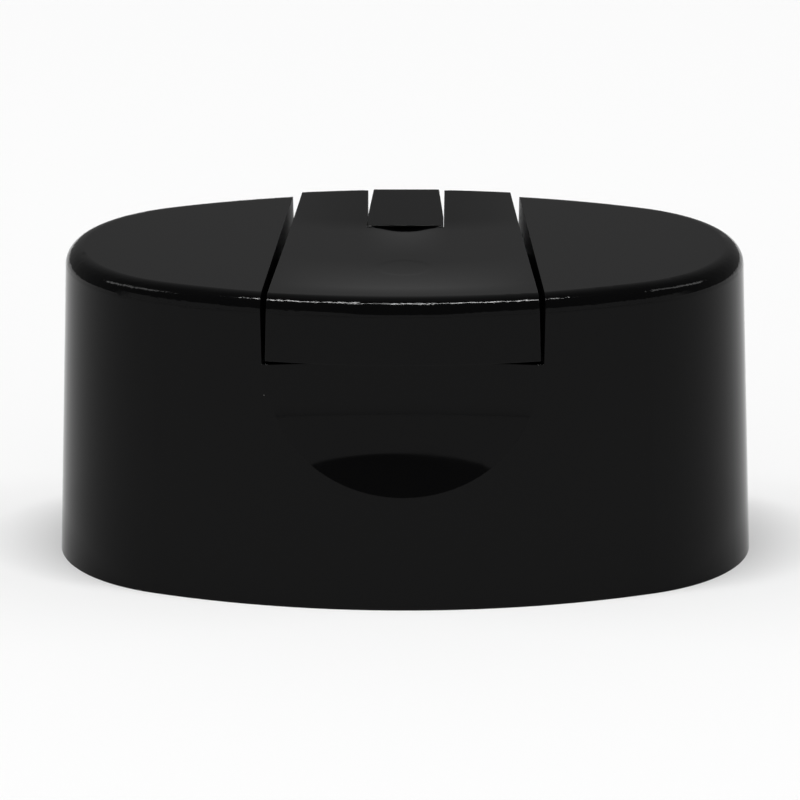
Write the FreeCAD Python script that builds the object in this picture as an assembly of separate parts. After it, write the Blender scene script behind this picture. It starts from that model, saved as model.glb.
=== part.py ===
import FreeCAD, Part

import math
import os

os.makedirs("parts", exist_ok=True)

# Flip top cap, millimetres. X runs across the two rounded ends, the front is -Y and Z is up.
# The origin is under the middle of the cap, on the plane of its base rim. The lid is shut.

# Outer form
cap_width = 60.0
cap_depth = 35.0
cap_height = 27.3
end_radius = 14.2  # plan radius of each rounded end
wall_lean = 0.8  # how far the outer wall leans in from base to top
edge_radius = 1.6  # rounding of the outer top edge
wall = 1.3  # skirt, wings and wing walls
wing_top = 1.4  # thickness over each wing

# Channel between the wings, with the deck as its floor
channel_depth = 5.9  # from the cap's top down to the deck
channel_front = 24.5  # width at the front face
channel_rear = 19.5  # width at the rear face
channel_lean = 0.14  # each wall leans in this much towards the deck
wing_corner_radius = 2.0  # upright corner at the rear end of each wing
deck_thickness = 1.3

# Thumb scoop in the front wall
scoop_depth = 1.9  # at the lid's lip
scoop_height = 11.4  # below the deck
scoop_half_width = 11.5  # at the deck

# Neck socket for a 22 mm bottle neck, and the seal inside it
neck_bore_radius = 11.15
neck_wall = 1.15
socket_mouth = 6.3  # height of the socket's open end above the base
lip_pocket_step = 0.55  # the top of the socket is narrower, round the plain lip of the neck
lip_pocket_depth = 3.1
lead_in = 0.6
seal_radius = 8.6  # outside of the ring that plugs the neck
seal_thickness = 0.8
seal_length = 2.4
rib_thickness = 0.8
rib_spacing = 11.0  # between the two ribs under each wing
rib_bottom = 9.0

# Spout
spout_offset = 5.3  # in front of the neck's axis
orifice_radius = 1.6
spout_bore_radius = 2.3
spout_wall = 1.0
spout_height = 1.9
spout_seat_depth = 0.6  # the wide bore goes this far into the deck

# Lid
parting_gap = 0.3  # between the deck and the lid's lower edge
lid_gap_front = 0.55  # between the lid and each wing
lid_gap_rear = 0.70
lid_flare = 0.12  # each side stands out this much more at its lower edge
lid_wall = 1.1
lid_plate = 1.7  # thickness of the top at its rim
dish_depth = 0.5
dish_half_width = 11.5  # the dish runs out this far to each side
dish_front_margin = 2.2  # flat rim in front of the dish
dish_edge_run = 2.2  # the slope grows over this run
dish_front_run = 8.6  # and fades over this one
dish_first_slope = 0.35  # share of the greatest slope at the rim
dish_rear_start = 5.5  # the top climbs again from here
dish_rear_ease = 3.0
dish_rear_overrun = 0.3  # the climb would end this far behind the lid
gate_mark_radius = 2.25
gate_mark_depth = 0.05

# Plug and catch
plug_gap = 0.08  # between the plug's sealing bead and the spout
plug_bead = 0.32  # the sealing bead stands out this much
plug_wall = 0.8
plug_bead_height = 0.4
plug_end_gap = 0.15  # above the spout's seat
catch_width = 10.0
catch_end_gap = 0.5  # the lip ends this far inside each end of the rib
catch_lip = 0.8  # how far the lid's lip stands in
catch_lip_height = 0.7
catch_gap = 0.08
catch_rib_thickness = 0.9
catch_bead = 0.25
catch_bead_height = 0.4
catch_rib_height = 1.8

# Film hinges between body and lid
hinge_inset = 0.6  # hinge line in front of the cap's rearmost line
film_thickness = 0.3
film_fold_radius = 0.15  # inside of the folded web
film_leg = 0.4  # flat end of the web, on its seat
film_inner = 4.1  # from the middle plane to the web's near end
film_outer = 8.9
film_gap = 0.02  # between a web and the piece that it only touches
hinge_land_height = 1.6

# Strap
strap_slot = 6.7  # width of the slot in the lid
strap_side_gap = 0.04  # between the strap's front end and each side of the slot
strap_taper = 0.85  # the strap is this much narrower at the rear
strap_front = 7.3  # front end of the strap, behind the middle
strap_straight = 2.3  # its sides are parallel over this length
strap_web_length = 0.5  # web between the lid and the strap's front end
strap_thickness = 1.1
strap_overhang = 0.25  # the strap's rear face stands behind the lid's rear edge
strap_back_thickness = 1.0
strap_knee_radius = 0.5
strap_seat_drop = 1.85  # from the deck down to the seat under the strap's lower end
strap_end_gap = 0.15
strap_end_film = 0.3
strap_back_gap = 0.4
pocket_wall = 0.9
pocket_depth = 3.0
hollow_half_width = 3.25  # of the hollow before the strap, at the strap
hollow_depth = 0.42
hollow_length = 7.4

# What follows from the sizes above
half_width = cap_width / 2
half_depth = cap_depth / 2
deck_height = cap_height - channel_depth
side_radius = (half_width**2 + half_depth**2 - 2 * half_width * end_radius) / (
    2 * (half_depth - end_radius)
)
lid_bottom = deck_height + parting_gap
lid_ceiling = cap_height - lid_plate
deck_underside = deck_height - deck_thickness
hinge_y = half_depth - hinge_inset
hinge_z = deck_height + parting_gap / 2
film_root_y = hinge_y - film_fold_radius
film_reach = film_fold_radius + film_thickness
lid_rear_y = half_depth - wall_lean
strap_front_width = strap_slot - 2 * strap_side_gap
strap_rear_width = strap_front_width - strap_taper
dish_slope = 2 * dish_depth / ((1 + dish_first_slope) * dish_edge_run + dish_front_run)
climb_run = lid_rear_y + dish_rear_overrun - dish_rear_start - dish_rear_ease / 2
strap_end_height = deck_height - strap_seat_drop
strap_rear_y = lid_rear_y + strap_overhang
plug_radius = spout_bore_radius - plug_gap - plug_bead
tall = 2 * cap_height  # longer than anything that it cuts


def lean_at(z):
    return wall_lean * z / cap_height


def oval_wire(inset, z):
    """Oval of four tangent arcs, set in from the base outline."""
    end = end_radius - inset
    side = side_radius - inset
    end_x = half_width - end_radius
    side_y = side_radius - half_depth
    angle = math.atan2(side_y, end_x)
    join_x = end_x + end * math.cos(angle)
    join_y = end * math.sin(angle)
    corners = [(join_x, -join_y), (join_x, join_y), (-join_x, join_y), (-join_x, -join_y)]
    middles = [(end_x + end, 0), (0, side - side_y), (-end_x - end, 0), (0, side_y - side)]
    arcs = []
    for n in range(4):
        points = (corners[n], middles[n], corners[(n + 1) % 4])
        arcs.append(Part.Arc(*[FreeCAD.Vector(x, y, z) for x, y in points]).toShape())
    return Part.Wire(arcs)


def oval_block(inset, low, high):
    """The outer form between two heights, with its walls set in."""
    return Part.makeLoft(
        [oval_wire(inset + lean_at(low), low), oval_wire(inset + lean_at(high), high)], True, True
    )


def box(x0, x1, y0, y1, z0, z1):
    return Part.makeBox(x1 - x0, y1 - y0, z1 - z0, FreeCAD.Vector(x0, y0, z0))


def side_extrusion(points, x0, x1):
    """A closed outline in the YZ plane, carried along X."""
    wire = Part.makePolygon([FreeCAD.Vector(x0, y, z) for y, z in points + points[:1]])
    return Part.Face(wire).extrude(FreeCAD.Vector(x1 - x0, 0, 0))


def upright(radius, x, y, low, high):
    return Part.makeCylinder(radius, high - low, FreeCAD.Vector(x, y, low))


def tapered_strip(front_half, rear_half, low, high, spread_low=0.0, spread_high=0.0):
    """A strip from front to rear, narrower at the rear, that may widen or narrow with height."""
    reach = 2 * half_depth
    slope = (rear_half - front_half) / (2 * half_depth)
    front = front_half - slope * (reach - half_depth)
    rear = rear_half + slope * (reach - half_depth)
    wires = []
    for z, spread in ((low, spread_low), (high, spread_high)):
        near, far = front + spread, rear + spread
        plan = [(-near, -reach), (near, -reach), (far, reach), (-far, reach)]
        wires.append(Part.makePolygon([FreeCAD.Vector(x, y, z) for x, y in plan + plan[:1]]))
    return Part.makeLoft(wires, True, True)


def channel_half(y):
    share = (y + half_depth) / cap_depth
    return (channel_front + (channel_rear - channel_front) * share) / 2


def lid_half(y):
    share = (y + half_depth) / cap_depth
    return channel_half(y) - lid_gap_front - (lid_gap_rear - lid_gap_front) * share


def channel_block(grow, floor):
    """The channel between the wings, grown by a wall when it is used to leave material."""
    top = cap_height + edge_radius
    per_height = channel_lean / (cap_height - deck_height)
    return tapered_strip(
        channel_half(-half_depth) + grow,
        channel_half(half_depth) + grow,
        floor,
        top,
        spread_low=(floor - cap_height) * per_height,
        spread_high=(top - cap_height) * per_height,
    )


def lid_strip(shrink, low, high):
    per_height = lid_flare / (cap_height - lid_bottom)
    return tapered_strip(
        lid_half(-half_depth) - shrink,
        lid_half(half_depth) - shrink,
        low,
        high,
        spread_low=(cap_height - low) * per_height,
        spread_high=(cap_height - high) * per_height,
    )


def rounded_outer_form():
    block = oval_block(0, 0, cap_height)
    top_edges = [e for e in block.Edges if e.BoundBox.ZMin > cap_height - 0.01]
    return block.makeFillet(edge_radius, top_edges)


def wing_corner_cutters():
    """Takes the sharp upright corner off the rear end of each wing, leaning with the channel's wall."""
    cutters = []
    radius = wing_corner_radius
    y = lid_rear_y - radius
    slope = math.atan2((channel_front - channel_rear) / 2, cap_depth)
    lean = math.degrees(math.atan2(channel_lean, cap_height - deck_height))
    for side in (-1, 1):
        x0, x1 = sorted((-side * 2 * radius, 0))
        block = box(x0, x1, 0, cap_depth, 0, tall)
        cutter = block.cut(upright(radius, 0, 0, -tall, 2 * tall))
        cutter.translate(FreeCAD.Vector(side * (channel_half(y) + radius / math.cos(slope)), y, 0))
        pivot = FreeCAD.Vector(side * channel_half(y), y, cap_height)
        cutter.rotate(pivot, FreeCAD.Vector(0, 1, 0), side * lean)
        above_deck = box(-half_width, half_width, 0, cap_depth, deck_height, tall)
        cutters.append(cutter.common(above_deck))
    return cutters


def scoop_ring(grow):
    """A ring whose outer face hollows the front wall: round in plan and round from top to bottom."""
    wall_at_deck = half_depth - lean_at(deck_height)
    wall_at_foot = half_depth - lean_at(deck_height - scoop_height)
    deepest = wall_at_deck - scoop_depth
    fall = wall_at_foot - deepest
    upright_radius = (scoop_height**2 + fall**2) / (2 * fall)
    local_wall_radius = side_radius - lean_at(deck_height)
    sag = scoop_half_width**2 / (2 * local_wall_radius)
    plan_radius = scoop_half_width**2 / (2 * (scoop_depth - sag))
    ring = Part.makeTorus(plan_radius - upright_radius, upright_radius + grow)
    ring.translate(FreeCAD.Vector(0, -deepest - plan_radius, deck_height))
    return ring


def body_hollow():
    """The open inside of the skirt and wings, down through the base."""
    inner = oval_block(wall, -lead_in, cap_height - wing_top)
    inner = inner.cut(channel_block(wall, deck_underside))
    return inner.cut(scoop_ring(wall))


def neck_socket():
    """The tube for the bottle neck, with its narrower pocket and seal ring at the top."""
    outside = upright(neck_bore_radius + neck_wall, 0, 0, socket_mouth, deck_height)
    pocket_floor = deck_underside - lip_pocket_depth
    bore = upright(neck_bore_radius, 0, 0, socket_mouth, pocket_floor)
    pocket = upright(neck_bore_radius - lip_pocket_step, 0, 0, pocket_floor, deck_underside)
    mouth = Part.makeCone(
        neck_bore_radius + lead_in, neck_bore_radius, lead_in, FreeCAD.Vector(0, 0, socket_mouth)
    )
    seal_end = deck_underside - seal_length
    seal = upright(seal_radius, 0, 0, seal_end, deck_underside)
    seal = seal.cut(upright(seal_radius - seal_thickness, 0, 0, seal_end, deck_underside))
    return outside.cut(bore.fuse([pocket, mouth])).fuse(seal)


def wing_ribs(hollow):
    ribs = []
    for side in (-1, 1):
        for end in (-1, 1):
            y = side * rib_spacing / 2
            x0, x1 = sorted((end * neck_bore_radius, end * half_width))
            rib = box(x0, x1, y - rib_thickness / 2, y + rib_thickness / 2, rib_bottom, cap_height)
            rib = rib.cut(upright(neck_bore_radius + neck_wall / 2, 0, 0, rib_bottom, cap_height))
            ribs.append(rib.common(hollow))
    return ribs


def spout():
    outside = upright(
        spout_bore_radius + spout_wall, 0, -spout_offset, deck_underside, deck_height + spout_height
    )
    rim = [e for e in outside.Edges if e.BoundBox.ZMin > deck_height + spout_height - 0.01]
    return outside.makeChamfer(spout_wall / 3, rim)


def spout_hole():
    seat = deck_height - spout_seat_depth
    bore = upright(spout_bore_radius, 0, -spout_offset, seat, tall)
    return bore.fuse(upright(orifice_radius, 0, -spout_offset, deck_underside - tall, seat))


def oval_band(outer_inset, inner_inset, low, high, width):
    """A length of wall that follows the front of the oval."""
    band = oval_block(outer_inset, low, high).cut(oval_block(inner_inset, low, high))
    return band.common(box(-width / 2, width / 2, -half_depth, 0, low, high))


def catch_rib():
    """Rib on the deck, with the bead that the lid's lip snaps under."""
    rib_face = lid_wall + catch_lip + catch_gap + catch_bead
    bead_low = lid_bottom + catch_lip_height + catch_gap
    rib_top = deck_height + catch_rib_height
    rib = oval_band(rib_face, rib_face + catch_rib_thickness, deck_height, rib_top, catch_width)
    bead_top = bead_low + catch_bead_height
    bead = oval_band(
        rib_face - catch_bead, rib_face + catch_rib_thickness, bead_low, bead_top, catch_width
    )
    return rib.fuse(bead)


def hinge_sides():
    return ((-film_outer, -film_inner), (film_inner, film_outer))


def hinge_lands():
    """Flat seats on the body's rear wall that carry the two film hinges."""
    top = hinge_z - film_reach
    inside = film_root_y - film_leg - wall / 2
    outline = [
        (inside, top),
        (film_root_y, top),
        (film_root_y, top - hinge_land_height / 2),
        (inside, top - hinge_land_height),
    ]
    return [side_extrusion(outline, x0, x1) for x0, x1 in hinge_sides()]


def film_seats(low, high):
    return [
        box(x0 - film_gap, x1 + film_gap, film_root_y - film_leg - film_gap, cap_depth, low, high)
        for x0, x1 in hinge_sides()
    ]


def strap_back_y():
    """Front face of the strap's rear limb."""
    return strap_rear_y - strap_back_thickness


def strap_recess(grow):
    """Space in the rear wall for the strap's lower end, grown when it is used to leave material."""
    half = strap_slot / 2 + grow
    front = strap_back_y() - strap_back_gap - grow
    return box(-half, half, front, cap_depth, strap_end_height - grow, deck_height + tall)


def strap_seat():
    """Land on the rear wall under the strap's lower end."""
    outline = [
        (strap_back_y(), strap_end_height),
        (strap_rear_y, strap_end_height),
        (strap_rear_y, strap_end_height - wall / 2),
        (strap_back_y(), strap_end_height - 2 * wall),
    ]
    return side_extrusion(outline, -strap_rear_width / 2, strap_rear_width / 2)


def make_body():
    body = rounded_outer_form()
    body = body.cut([channel_block(0, deck_height)] + wing_corner_cutters() + [scoop_ring(0)])
    hollow = body_hollow()
    backing = strap_recess(wall).common(oval_block(0, 0, deck_height))
    body = body.cut(hollow.cut(backing))
    solids = [neck_socket(), spout(), catch_rib(), strap_seat()] + hinge_lands() + wing_ribs(hollow)
    body = body.fuse(solids)
    seat_top = hinge_z - film_reach
    body = body.cut([spout_hole(), strap_recess(0)] + film_seats(seat_top, tall))
    return body.removeSplitter()


def sink_at(run):
    """How far the dish has sunk after this run from its front rim."""
    if run < 0:
        return dish_first_slope * dish_slope * run
    edge = min(run, dish_edge_run)
    growth = (1 - dish_first_slope) * dish_slope / dish_edge_run
    sunk = dish_first_slope * dish_slope * edge + growth * edge**2 / 2
    rest = min(max(run - dish_edge_run, 0), dish_front_run)
    return sunk + dish_slope * (rest - rest**2 / (2 * dish_front_run))


def climb_at(run):
    """How far the top has climbed again after this run from the dish's floor."""
    eased = min(max(run, 0), dish_rear_ease)
    slope = dish_depth / climb_run
    return slope * (eased**2 / (2 * dish_rear_ease) + max(run - dish_rear_ease, 0))


def dish_at(x, y):
    """Depth of the dished top below the flat rim."""
    run = y + half_depth - wall_lean - dish_front_margin - x**2 / (2 * side_radius)
    along = sink_at(run) - climb_at(y - dish_rear_start)
    return along * (1 - (x / dish_half_width) ** 2)


def dish_cutter():
    """Everything above the dished top of the lid."""
    columns, rows = 21, 49
    side = half_depth - dish_edge_run
    end = half_depth + edge_radius
    grid = []
    for i in range(columns):
        x = side * (2 * i / (columns - 1) - 1)
        row = []
        for j in range(rows):
            y = end * (2 * j / (rows - 1) - 1)
            row.append(FreeCAD.Vector(x, y, cap_height - dish_at(x, y)))
        grid.append(row)
    surface = Part.BSplineSurface()
    surface.interpolate(grid)
    return surface.toShape().extrude(FreeCAD.Vector(0, 0, 2 * edge_radius))


def strap_top(y):
    """Height of the strap's top, which runs straight from the dish up to the lid's rear edge."""
    front = cap_height - dish_at(0, strap_front)
    return front + (cap_height - front) * (y - strap_front) / (strap_rear_y - strap_front)


def front_hollow(grow):
    """Round bar that sinks towards the rear and makes the hollow before the strap."""
    radius = (hollow_half_width**2 + hollow_depth**2) / (2 * hollow_depth)
    slope = math.atan2(hollow_depth, hollow_length)
    axis = FreeCAD.Vector(0, math.cos(slope), -math.sin(slope))
    foot = FreeCAD.Vector(0, strap_front, strap_top(strap_front) - hollow_depth)
    centre = foot + FreeCAD.Vector(0, math.sin(slope), math.cos(slope)) * radius
    start = centre - axis * (cap_depth / 2)
    return Part.makeCylinder(radius + grow, cap_depth / 2, start, axis)


def sealing_plug():
    """Hollow pin with one sealing bead near the top of the spout."""
    end = deck_height - spout_seat_depth + plug_end_gap
    bead_top = deck_height + spout_height - spout_wall / 3
    pin = upright(plug_radius, 0, -spout_offset, end, lid_ceiling + lid_plate / 2)
    tip = [e for e in pin.Edges if e.BoundBox.ZMax < end + 0.01 and e.Length > plug_radius]
    pin = pin.makeChamfer(plug_wall / 3, tip)
    profile = [
        (plug_radius - plug_bead, bead_top - plug_bead_height - plug_bead),
        (plug_radius, bead_top - plug_bead_height - plug_bead),
        (plug_radius + plug_bead, bead_top - plug_bead_height),
        (plug_radius + plug_bead, bead_top),
        (plug_radius, bead_top + plug_bead),
        (plug_radius - plug_bead, bead_top + plug_bead),
    ]
    wire = Part.makePolygon([FreeCAD.Vector(r, 0, z) for r, z in profile + profile[:1]])
    bead = Part.Face(wire).revolve(FreeCAD.Vector(0, 0, 0), FreeCAD.Vector(0, 0, 1), 360)
    bead.translate(FreeCAD.Vector(0, -spout_offset, 0))
    core = upright(plug_radius - plug_wall, 0, -spout_offset, end - tall, lid_ceiling)
    return pin.fuse(bead).cut(core)


def lid_outside():
    """Rounded at the front edge and crisp at the rear one."""
    front = rounded_outer_form().common(box(-half_width, half_width, -half_depth, 0, 0, tall))
    rear = oval_block(0, 0, cap_height).common(box(-half_width, half_width, 0, half_depth, 0, tall))
    return front.fuse(rear).removeSplitter().common(lid_strip(0, lid_bottom, cap_height + edge_radius))


def lid_hollow():
    inner = oval_block(lid_wall, lid_bottom - parting_gap, lid_ceiling)
    inner = inner.common(lid_strip(lid_wall, lid_bottom - parting_gap, cap_height))
    half = strap_slot / 2 + pocket_wall
    slot_front = strap_front - strap_web_length
    pocket = box(-half, half, slot_front - pocket_wall, cap_depth, cap_height - pocket_depth, tall)
    return inner.cut(pocket)


def make_lid():
    lid = lid_outside().cut(dish_cutter()).cut(lid_hollow())
    lip = oval_band(
        lid_wall / 2,
        lid_wall + catch_lip,
        lid_bottom,
        lid_bottom + catch_lip_height,
        catch_width - 2 * catch_end_gap,
    )
    lid = lid.fuse([lip, sealing_plug()])
    gate_floor = cap_height - dish_at(0, -spout_offset) - gate_mark_depth
    gate = upright(gate_mark_radius, 0, -spout_offset, gate_floor, tall)
    slot_front = strap_front - strap_web_length
    slot = box(-strap_slot / 2, strap_slot / 2, slot_front, cap_depth, 0, tall)
    for cutter in [gate, slot, front_hollow(0)] + film_seats(0, hinge_z + film_reach):
        lid = lid.cut(cutter)
    return lid.removeSplitter()


def make_strap():
    """The tongue: a top limb in the lid's slot and a rear limb down to its seat on the body."""
    front_z = strap_top(strap_front)
    ceiling = cap_height - strap_thickness
    foot = strap_end_height + strap_end_gap
    limb = strap_end_film + foot
    outline = [
        (strap_front, front_z),
        (strap_rear_y, cap_height),
        (strap_rear_y, foot),
        (strap_rear_y - strap_end_film, foot),
        (strap_back_y(), limb + strap_back_thickness - strap_end_film),
        (strap_back_y(), ceiling),
        (strap_front + strap_thickness / 2, front_z - strap_thickness),
        (strap_front, front_z - strap_thickness / 2 - film_thickness),
    ]
    strap = side_extrusion(outline, -strap_slot / 2, strap_slot / 2)
    knee = [
        e for e in strap.Edges
        if e.BoundBox.YMin > strap_rear_y - 0.01 and e.BoundBox.ZMin > cap_height - 0.01
    ]
    inner_knee = [
        e for e in strap.Edges
        if abs(e.BoundBox.YMin - strap_back_y()) < 0.01
        and abs(e.BoundBox.ZMin - ceiling) < 0.01
        and e.BoundBox.XLength > strap_slot / 2
    ]
    strap = strap.makeFillet(strap_knee_radius, inner_knee).makeFillet(strap_knee_radius / 2, knee)
    wide, narrow = strap_front_width / 2, strap_rear_width / 2
    bend = strap_front + strap_straight
    plan = [(wide, strap_front), (wide, bend), (narrow, strap_rear_y)]
    plan += [(-x, y) for x, y in reversed(plan)]
    wire = Part.makePolygon([FreeCAD.Vector(x, y, 0) for x, y in plan + plan[:1]])
    return strap.common(Part.Face(wire).extrude(FreeCAD.Vector(0, 0, tall)))


def make_film_hinge(x0, x1):
    """A web folded back on itself: two flat legs and a half round behind them."""
    root = FreeCAD.Vector(x0, film_root_y, hinge_z)
    outside = Part.makeCylinder(film_reach, x1 - x0, root, FreeCAD.Vector(1, 0, 0))
    inside = Part.makeCylinder(film_fold_radius, x1 - x0, root, FreeCAD.Vector(1, 0, 0))
    low, high = hinge_z - film_reach, hinge_z + film_reach
    leg_y = film_root_y - film_leg
    front_of_fold = box(x0, x1, film_root_y - film_reach, film_root_y, low, high)
    legs = box(x0, x1, leg_y, film_root_y, low, high - film_gap)
    web = outside.cut(front_of_fold).fuse(legs)
    slit = box(x0, x1, leg_y, film_root_y, hinge_z - film_fold_radius, hinge_z + film_fold_radius)
    return web.cut([inside, slit]).removeSplitter()


def make_strap_film():
    """Thin web under the end of the hollow, between the lid and the strap's front end."""
    half = strap_front_width / 2
    web_front = strap_front - strap_web_length
    web = box(-half, half, web_front, strap_front - film_gap, deck_height, strap_top(strap_front))
    return web.common(front_hollow(film_thickness)).cut(front_hollow(0))


def export(name, shape):
    shape.exportStep(f"parts/{name}.step")
    state = "valid" if shape.isValid() else "not valid"
    print(name, state, len(shape.Solids), "solid", round(shape.Volume, 2), "mm3")


export("cap_body", make_body())
export("lid", make_lid())
export("hinge_strap", make_strap())
export("film_hinge_left", make_film_hinge(-film_outer, -film_inner))
export("film_hinge_right", make_film_hinge(film_inner, film_outer))
export("strap_film", make_strap_film())
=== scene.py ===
import math

import bmesh
import bpy
from mathutils import Matrix, Vector


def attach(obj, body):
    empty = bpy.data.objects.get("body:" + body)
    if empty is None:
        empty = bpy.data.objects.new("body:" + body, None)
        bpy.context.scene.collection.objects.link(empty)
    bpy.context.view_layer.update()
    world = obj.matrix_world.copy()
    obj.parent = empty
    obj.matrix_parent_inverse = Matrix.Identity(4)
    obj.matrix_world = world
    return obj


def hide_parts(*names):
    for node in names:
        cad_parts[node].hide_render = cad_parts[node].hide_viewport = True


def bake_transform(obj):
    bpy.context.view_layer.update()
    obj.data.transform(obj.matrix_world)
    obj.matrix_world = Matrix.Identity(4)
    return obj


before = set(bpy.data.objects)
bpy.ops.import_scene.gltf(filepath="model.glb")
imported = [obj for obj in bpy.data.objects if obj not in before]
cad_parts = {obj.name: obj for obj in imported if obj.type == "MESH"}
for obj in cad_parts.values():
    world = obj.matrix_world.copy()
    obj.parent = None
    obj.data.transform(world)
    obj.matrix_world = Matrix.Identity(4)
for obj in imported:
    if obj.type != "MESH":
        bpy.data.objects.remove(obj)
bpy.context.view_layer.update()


scene = bpy.context.scene
mm = 0.001


# a shader socket that takes part in plain arithmetic
class Sock:
    def __init__(self, maker, out):
        self.maker = maker
        self.out = out

    # another output of the same node
    def beside(self, name):
        return Sock(self.maker, self.out.node.outputs[name])

    def __add__(self, other):
        return self.maker.math("ADD", self, other)

    def __radd__(self, other):
        return self.maker.math("ADD", other, self)

    def __sub__(self, other):
        return self.maker.math("SUBTRACT", self, other)

    def __rsub__(self, other):
        return self.maker.math("SUBTRACT", other, self)

    def __mul__(self, other):
        return self.maker.math("MULTIPLY", self, other)

    def __rmul__(self, other):
        return self.maker.math("MULTIPLY", other, self)

    def __truediv__(self, other):
        return self.maker.math("DIVIDE", self, other)

    def __rtruediv__(self, other):
        return self.maker.math("DIVIDE", other, self)


class NodeMaker:
    def __init__(self, tree):
        self.tree = tree
        tree.nodes.clear()

    # settings go in first, then the values or links of the sockets
    def add(self, kind, settings=None, sockets=None, output=0):
        node = self.tree.nodes.new(kind)
        for name, value in (settings or {}).items():
            setattr(node, name, value)
        for name, value in (sockets or {}).items():
            if isinstance(value, Sock):
                self.tree.links.new(value.out, node.inputs[name])
            else:
                node.inputs[name].default_value = value
        if node.outputs:
            return Sock(self, node.outputs[output])

    def math(self, operation, *values):
        return self.add("ShaderNodeMath", {"operation": operation}, dict(enumerate(values)))

    # from 0 at the first value to 1 at the second, eased at both ends
    def rise(self, value, first, second):
        settings = {"interpolation_type": "SMOOTHSTEP"}
        return self.add("ShaderNodeMapRange", settings, {0: value, 1: first, 2: second})

    def split(self, vector):
        parts = self.add("ShaderNodeSeparateXYZ", {}, {"Vector": vector})
        return [parts.beside(name) for name in "XYZ"]


def newMaterial(name):
    material = bpy.data.materials.new(name)
    material.use_nodes = True
    return material, NodeMaker(material.node_tree)


plastic = {
    "color": (0.0006, 0.0006, 0.0007, 1.0),
    "ior": 1.21,
    "roughness": 0.045,
    "edgeRadius": 0.09 * mm,
    "edgeSamples": 6,
    # the walls of the narrow gaps beside the lid aren't polished
    "channelRoughness": 0.4,
    "channelFacing": 0.9,
    "channelReach": 12.6 * mm,
    # handled patches are this much rougher
    "hazeRoughness": 0.035,
    "hazeNoise": {"Scale": 95.0, "Detail": 4.0, "Roughness": 0.6},
    "hazeStart": 0.48,
    "hazeFull": 0.72,
    # polishing ripple, only on the rounded top edge; heights are in millimetres
    "rippleHeight": 0.03,
    "rippleStretch": (0.28, 1.0, 1.0),
    "rippleNoise": {"Scale": 950.0, "Detail": 3.0, "Roughness": 0.62, "Distortion": 0.8},
    "rippleSlopes": (0.15, 0.99),
    "rippleSoftness": 0.12,
    "rippleAbove": 25.2 * mm,
    "waveHeight": 0.0012,
    "waveNoise": {"Scale": 130.0, "Detail": 1.0, "Roughness": 0.5},
    "scratchHeight": 0.0003,
    "scratchStretch": (1.0, 0.08, 0.3),
    "scratchNoise": {"Scale": 5200.0, "Detail": 4.0, "Roughness": 0.7},
    # a few of the cells hold a speck of dust
    "dustColor": (0.10, 0.10, 0.095, 1.0),
    "dustScale": 260.0,
    "dustReach": 0.022,
    "dustShare": 0.93,
}


def blackPlastic():
    plan = plastic
    material, maker = newMaterial("blackPlastic")
    place = maker.add("ShaderNodeTexCoord", output="Object")
    outward = place.beside("Normal")
    sideways, _, height = maker.split(place)
    facing, _, upward = maker.split(outward)

    def stretched(scale):
        return maker.add("ShaderNodeVectorMath", {"operation": "MULTIPLY"}, {0: place, 1: scale})

    def noise(vector, settings):
        return maker.add("ShaderNodeTexNoise", {}, {"Vector": vector, **settings})

    inChannel = maker.math("GREATER_THAN", maker.math("ABSOLUTE", facing), plan["channelFacing"])
    inChannel *= maker.math("LESS_THAN", maker.math("ABSOLUTE", sideways), plan["channelReach"])

    low, high = plan["rippleSlopes"]
    soft = plan["rippleSoftness"]
    onRounding = maker.rise(upward, low, low + soft) * (1 - maker.rise(upward, high - soft, high))
    onRounding *= maker.math("GREATER_THAN", height, plan["rippleAbove"])
    ripple = noise(stretched(plan["rippleStretch"]), plan["rippleNoise"]) * onRounding
    wave = noise(place, plan["waveNoise"])
    scratch = noise(stretched(plan["scratchStretch"]), plan["scratchNoise"])
    surface = (
        ripple * plan["rippleHeight"]
        + wave * plan["waveHeight"]
        + scratch * plan["scratchHeight"]
    )
    rounded = maker.add(
        "ShaderNodeBevel", {"samples": plan["edgeSamples"]}, {"Radius": plan["edgeRadius"]}
    )
    relief = maker.add(
        "ShaderNodeBump",
        {},
        {"Strength": 1.0, "Distance": mm, "Height": surface, "Normal": rounded},
    )

    haze = maker.rise(noise(place, plan["hazeNoise"]), plan["hazeStart"], plan["hazeFull"])
    channelExtra = plan["channelRoughness"] - plan["roughness"]
    roughness = plan["roughness"] + plan["hazeRoughness"] * haze + channelExtra * inChannel

    cell = maker.add(
        "ShaderNodeTexVoronoi",
        {"feature": "F1"},
        {"Vector": place, "Scale": plan["dustScale"], "Randomness": 1.0},
    )
    chosen = maker.add("ShaderNodeSeparateColor", {}, {"Color": cell.beside("Color")})
    speck = maker.math("LESS_THAN", cell, plan["dustReach"])
    speck *= maker.math("GREATER_THAN", chosen, plan["dustShare"])
    color = maker.add(
        "ShaderNodeMix",
        {"data_type": "RGBA"},
        {"Factor": speck, 6: plan["color"], 7: plan["dustColor"]},
        output=2,
    )
    shader = maker.add(
        "ShaderNodeBsdfPrincipled",
        {},
        {"Base Color": color, "Roughness": roughness, "IOR": plan["ior"], "Normal": relief},
    )
    maker.add("ShaderNodeOutputMaterial", {}, {"Surface": shader})
    return material


black = blackPlastic()
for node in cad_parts.values():
    node.data.materials.clear()
    node.data.materials.append(black)
print("plastic on the moulded parts")

skinPlan = {"weldReach": 0.0001, "creaseAngle": 28.0}


def addToScene(name, data):
    added = bpy.data.objects.new(name, data)
    scene.collection.objects.link(added)
    return added


def pieceFrom(skin, name):
    mesh = bpy.data.meshes.new(name)
    skin.to_mesh(mesh)
    skin.free()
    return addToScene(name, mesh)


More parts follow.
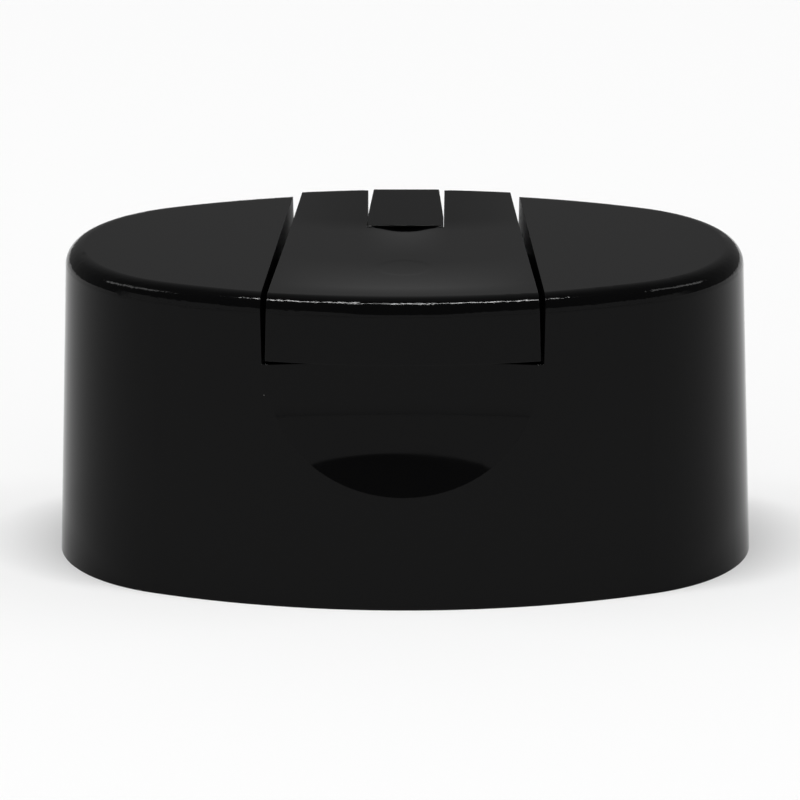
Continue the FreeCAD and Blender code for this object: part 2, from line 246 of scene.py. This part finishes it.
# the mesh of a moulded part as one welded skin, to finish further
def weldedCopy(node, name):
    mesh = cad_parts[node].data.copy()
    mesh.name = name
    if "custom_normal" in mesh.attributes:
        mesh.attributes.remove(mesh.attributes["custom_normal"])
    skin = bmesh.new()
    skin.from_mesh(mesh)
    bmesh.ops.remove_doubles(skin, verts=skin.verts, dist=skinPlan["weldReach"] * mm)
    skin.to_mesh(mesh)
    skin.free()
    return addToScene(name, mesh)


def applyModifiers(piece):
    bpy.context.view_layer.update()
    shaped = piece.evaluated_get(bpy.context.evaluated_depsgraph_get())
    mesh = bpy.data.meshes.new_from_object(shaped)
    piece.modifiers.clear()
    piece.data = mesh


def combine(piece, tool, operation):
    step = piece.modifiers.new(operation.lower(), "BOOLEAN")
    step.operation = operation
    step.solver = "EXACT"
    step.object = tool
    applyModifiers(piece)
    bpy.data.objects.remove(tool)


# a rounding on every edge sharper than the angle, still to be applied
def roundEdges(piece, plan):
    rounding = piece.modifiers.new("rounding", "BEVEL")
    rounding.width = plan["edge"] * mm
    rounding.segments = plan["edgeSegments"]
    rounding.angle_limit = math.radians(plan["edgeAngle"])


def smoothSkin(piece, angle=skinPlan["creaseAngle"]):
    piece.data.shade_smooth()
    piece.data.set_sharp_from_angle(angle=math.radians(angle))
    piece.data.materials.clear()
    piece.data.materials.append(black)


lidTop = {
    "capHeight": 27.3,
    "halfDepth": 17.5,
    "frontMargin": 3.0,  # from the foot of the front wall to the dish
    "sideRadius": 53.67,
    "dishDepth": 0.5,
    "dishHalfWidth": 11.5,
    "edgeRun": 2.2,
    "frontRun": 8.6,
    "firstSlope": 0.35,
    "rearStart": 5.5,
    "rearEase": 3.0,
    "rearEnd": 17.0,
    "finishCut": 0.012,  # the polished skin lies this far under the moulded one
    "hollowStart": -1.6,
    "hollowEnd": 7.3,
    "hollowHalfWidth": 3.9,
    "hollowDepth": 0.3,
    "gatePlace": -5.3,
    "gateRadius": 2.25,
    "gateDepth": 0.011,
    "gateSoftness": 0.35,
    # blocks that fill the moulded hollow and gate mark before the finer ones are cut
    "hollowFill": ((-3.3, -1.5, 25.75), (3.3, 6.79, 27.25)),
    "gateFill": ((-2.4, -7.8, 26.0), (2.4, -2.8, 27.2)),
    "cutAcross": (-12.4, 12.4),
    "cutAlong": (-15.4, 17.4),
    "cutTop": 28.6,
    "gridStep": 0.22,
}


def dishAt(x, y):
    plan = lidTop
    run = y + plan["halfDepth"] - plan["frontMargin"] - x**2 / (2 * plan["sideRadius"])
    first = plan["firstSlope"]
    slope = 2 * plan["dishDepth"] / ((1 + first) * plan["edgeRun"] + plan["frontRun"])
    if run < 0:
        sunk = first * slope * run
    else:
        edge = min(run, plan["edgeRun"])
        rest = min(max(run - plan["edgeRun"], 0), plan["frontRun"])
        sunk = first * slope * edge + (1 - first) * slope * edge**2 / (2 * plan["edgeRun"])
        sunk += slope * (rest - rest**2 / (2 * plan["frontRun"]))
    climb = y - plan["rearStart"]
    eased = min(max(climb, 0), plan["rearEase"])
    rise = plan["dishDepth"] / (plan["rearEnd"] - plan["rearStart"] - plan["rearEase"] / 2)
    sunk -= rise * (eased**2 / (2 * plan["rearEase"]) + max(climb - plan["rearEase"], 0))
    return sunk * (1 - (x / plan["dishHalfWidth"]) ** 2)


# the dish, with the soft hollow that runs into the strap's slot and the faint round gate mark
def lidTopDepth(x, y):
    plan = lidTop
    depth = dishAt(x, y) + plan["finishCut"]
    along = (y - plan["hollowStart"]) / (plan["hollowEnd"] - plan["hollowStart"])
    across = 1 - (x / plan["hollowHalfWidth"]) ** 2
    if along > 0 and across > 0:
        depth += plan["hollowDepth"] * min(along, 1.0) ** 2 * across**1.5
    reach = math.hypot(x, y - plan["gatePlace"]) - plan["gateRadius"]
    ease = min(max(0.5 - reach / plan["gateSoftness"], 0.0), 1.0)
    return depth + plan["gateDepth"] * ease * ease * (3 - 2 * ease)


def blockBetween(low, high):
    skin = bmesh.new()
    bmesh.ops.create_cube(skin, size=1.0)
    for vert in skin.verts:
        for axis in range(3):
            vert.co[axis] = (low[axis] if vert.co[axis] < 0 else high[axis]) * mm
    return pieceFrom(skin, "block")


# everything above the lid's top, as a fine grid closed by a flat face
def spaceAboveLid():
    plan = lidTop
    left, right = plan["cutAcross"]
    front, back = plan["cutAlong"]
    columns = round((right - left) / plan["gridStep"])
    rows = round((back - front) / plan["gridStep"])
    skin = bmesh.new()
    low, high = [], []
    for j in range(rows + 1):
        y = front + (back - front) * j / rows
        low.append([])
        high.append([])
        for i in range(columns + 1):
            x = left + (right - left) * i / columns
            z = plan["capHeight"] - lidTopDepth(x, y)
            low[j].append(skin.verts.new((x * mm, y * mm, z * mm)))
            high[j].append(skin.verts.new((x * mm, y * mm, plan["cutTop"] * mm)))
    for j in range(rows):
        for i in range(columns):
            ring = [(j, i), (j, i + 1), (j + 1, i + 1), (j + 1, i)]
            skin.faces.new([low[n][m] for n, m in reversed(ring)])
            skin.faces.new([high[n][m] for n, m in ring])
    rim = [(0, i) for i in range(columns)] + [(j, columns) for j in range(rows)]
    rim += [(rows, i) for i in range(columns, 0, -1)] + [(j, 0) for j in range(rows, 0, -1)]
    for (j, i), (n, m) in zip(rim, rim[1:] + rim[:1]):
        skin.faces.new((low[j][i], low[n][m], high[n][m], high[j][i]))
    return pieceFrom(skin, "spaceAbove")


def finishLid():
    lid = weldedCopy("lid", "lidShell")
    combine(lid, blockBetween(*lidTop["hollowFill"]), "UNION")
    combine(lid, blockBetween(*lidTop["gateFill"]), "UNION")
    combine(lid, spaceAboveLid(), "DIFFERENCE")
    smoothSkin(lid)
    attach(lid, "lid")
    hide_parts("lid")


finishLid()
print("lid with its dish, hollow and gate mark")

thread = {
    "wallRadius": 11.25,
    "crestRadius": 10.4,
    "pitch": 3.2,
    "turns": 1.7,
    "start": 8.4,
    "rootHalf": 0.85,
    "crestHalf": 0.3,
    "runOut": 0.12,  # share of the thread that fades at each end
    "endHeight": 0.13,  # share of its full height that is left at the ends
    "steps": 150,
    "edge": 0.15,
    "edgeSegments": 3,
    "edgeAngle": 30.0,
    "creaseAngle": 60.0,
}


def makeThread():
    plan = thread
    skin = bmesh.new()
    loops = []
    for n in range(plan["steps"] + 1):
        share = n / plan["steps"]
        angle = 2 * math.pi * plan["turns"] * share
        fade = min(share, 1 - share) / plan["runOut"]
        fade = max(math.sin(min(fade, 1.0) * math.pi / 2), plan["endHeight"])
        crest = plan["wallRadius"] + (plan["crestRadius"] - plan["wallRadius"]) * fade
        z = plan["start"] + plan["pitch"] * plan["turns"] * share
        profile = [
            (plan["wallRadius"], -plan["rootHalf"]),
            (crest, -plan["crestHalf"]),
            (crest, plan["crestHalf"]),
            (plan["wallRadius"], plan["rootHalf"]),
        ]
        loops.append([
            skin.verts.new((r * math.cos(angle) * mm, r * math.sin(angle) * mm, (z + rise) * mm))
            for r, rise in profile
        ])
    for near, far in zip(loops, loops[1:]):
        for n in range(len(near)):
            m = (n + 1) % len(near)
            skin.faces.new((near[n], near[m], far[m], far[n]))
    skin.faces.new(loops[0])
    skin.faces.new(reversed(loops[-1]))
    bmesh.ops.recalc_face_normals(skin, faces=skin.faces)
    piece = pieceFrom(skin, "neckThread")
    roundEdges(piece, plan)
    applyModifiers(piece)
    smoothSkin(piece, plan["creaseAngle"])
    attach(piece, "body")


makeThread()
print("thread in the neck socket")

strapFinish = {
    "flatAngle": 1.0,  # faces closer than this in direction become one
    "edge": 0.09,
    "edgeSegments": 3,
    "edgeAngle": 40.0,
    "creaseAngle": 180.0,
    "flatWeight": 100,
}


# the tongue with its edges and corners rounded
def finishStrap():
    plan = strapFinish
    strap = weldedCopy("hinge_strap", "strapTongue")
    skin = bmesh.new()
    skin.from_mesh(strap.data)
    flatAngle = math.radians(plan["flatAngle"])
    bmesh.ops.dissolve_limit(skin, angle_limit=flatAngle, verts=skin.verts, edges=skin.edges)
    skin.to_mesh(strap.data)
    skin.free()
    roundEdges(strap, plan)
    smoothSkin(strap, plan["creaseAngle"])
    flat = strap.modifiers.new("flatFaces", "WEIGHTED_NORMAL")
    flat.mode = "FACE_AREA"
    flat.weight = plan["flatWeight"]
    applyModifiers(strap)
    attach(strap, "strap")
    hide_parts("hinge_strap")


finishStrap()


# thin webs between the two parts that they join, welded, smoothed and fixed where they stand
def finishWebs():
    for node, name in (("film_hinge_left", "leftHingeWeb"), ("film_hinge_right", "rightHingeWeb")):
        web = weldedCopy(node, name)
        smoothSkin(web)
        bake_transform(web)
        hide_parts(node)
    web = weldedCopy("strap_film", "strapWeb")
    smoothSkin(web)
    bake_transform(web)
    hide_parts("strap_film")


finishWebs()
print("strap and webs")

cameraPlan = {
    "elevation": 18.0,
    "distance": 700.0,
    "turn": -0.643,
    "roll": -0.152,
    "targetX": -0.423,
    "targetZ": 13.193,
    "focal": 363.015,
    "sensorWidth": 36.0,
    "clipStart": 0.05,  # metres
}


def placeCamera():
    plan = cameraPlan
    lift = math.radians(plan["elevation"])
    forward = Vector((0, math.cos(lift), -math.sin(lift)))
    right = Vector((1, 0, 0))
    up = right.cross(forward)
    spin = Matrix.Rotation(math.radians(-plan["turn"]), 4, "Z")
    roll = Matrix.Rotation(math.radians(plan["roll"]), 4, "Z")
    level = Matrix((right, up, -forward)).transposed().to_4x4()
    place = Vector((plan["targetX"], 0, plan["targetZ"])) - forward * plan["distance"]
    camera = addToScene("camera", bpy.data.cameras.new("camera"))
    camera.data.sensor_width = plan["sensorWidth"]
    camera.data.lens = plan["focal"]
    camera.data.clip_start = plan["clipStart"]
    camera.matrix_world = spin @ Matrix.Translation(place * mm) @ level @ roll
    scene.camera = camera


placeCamera()

# a lamp's ends are in metres, and its glow is how bright it looks, where 1 is white
room = {
    "floorSize": 2.4,
    "floorColor": (0.9, 0.9, 0.9, 1.0),
    "lampTarget": (0, 0, 0.02),
    "lamps": {
        "overhead": ((-0.53, -0.1, 1.75), (0.5, -0.1, 1.75), 0.11, 62.0),
        "left": ((-0.88, -0.26, 1.5), (-1.42, 0.41, 0.97), 0.2, 4.5),
        "right": ((0.88, -0.26, 1.5), (1.42, 0.41, 0.97), 0.2, 4.5),
    },
    "wallGlow": 0.23,  # the room all round
    "frontGlow": 0.95,  # low in front of the cap, as bright as the floor
    "apronHeight": 0.203,
    "apronRise": 2.9,
    "apronMost": 0.4,
    "apronSoftness": 0.008,
    "leastForward": -0.05,
    "frontStart": -0.1,
    "frontFull": -0.4,
}


def makeFloor():
    half = room["floorSize"] / 2
    mesh = bpy.data.meshes.new("floor")
    corners = [(-half, -half, 0), (half, -half, 0), (half, half, 0), (-half, half, 0)]
    mesh.from_pydata(corners, [], [(0, 1, 2, 3)])
    floor = addToScene("floor", mesh)
    material, maker = newMaterial("paleFloor")
    shader = maker.add("ShaderNodeBsdfDiffuse", {}, {"Color": room["floorColor"]})
    maker.add("ShaderNodeOutputMaterial", {}, {"Surface": shader})
    mesh.materials.append(material)


makeFloor()


# a rectangular lamp with its long side from start to end, turned to face the cap
def addLamp(name, start, end, width, glow):
    start, end = Vector(start), Vector(end)
    light = bpy.data.lights.new(name, "AREA")
    light.shape = "RECTANGLE"
    light.size, light.size_y = (end - start).length, width
    light.energy = glow * math.pi * light.size * light.size_y
    middle = (start + end) / 2
    along = (end - start).normalized()
    back = (middle - Vector(room["lampTarget"])).normalized()
    back = (back - along * back.dot(along)).normalized()
    turned = Matrix((along, back.cross(along), back)).transposed().to_4x4()
    addToScene(name, light).matrix_world = Matrix.Translation(middle) @ turned


for name, plan in room["lamps"].items():
    addLamp(name, *plan)


# the far walls: plain grey, with a pale apron low in front whose upper edge rises to either side
def makeWorld():
    world = bpy.data.worlds.new("room")
    world.use_nodes = True
    scene.world = world
    maker = NodeMaker(world.node_tree)
    x, y, z = maker.split(maker.add("ShaderNodeTexCoord", output="Generated"))
    aside = x / maker.math("MINIMUM", y, room["leastForward"])
    edge = room["apronHeight"] + room["apronRise"] * aside * aside
    edge = maker.math("MINIMUM", edge, room["apronMost"])
    apron = maker.rise(edge - z, 0.0, room["apronSoftness"])
    apron *= maker.rise(y, room["frontStart"], room["frontFull"])
    glow = room["wallGlow"] + (room["frontGlow"] - room["wallGlow"]) * apron
    sky = maker.add("ShaderNodeBackground", {}, {"Color": (1, 1, 1, 1), "Strength": glow})
    maker.add("ShaderNodeOutputWorld", {}, {"Surface": sky})


makeWorld()
scene.view_settings.view_transform = "Standard"
print("room, lamps and camera in place")
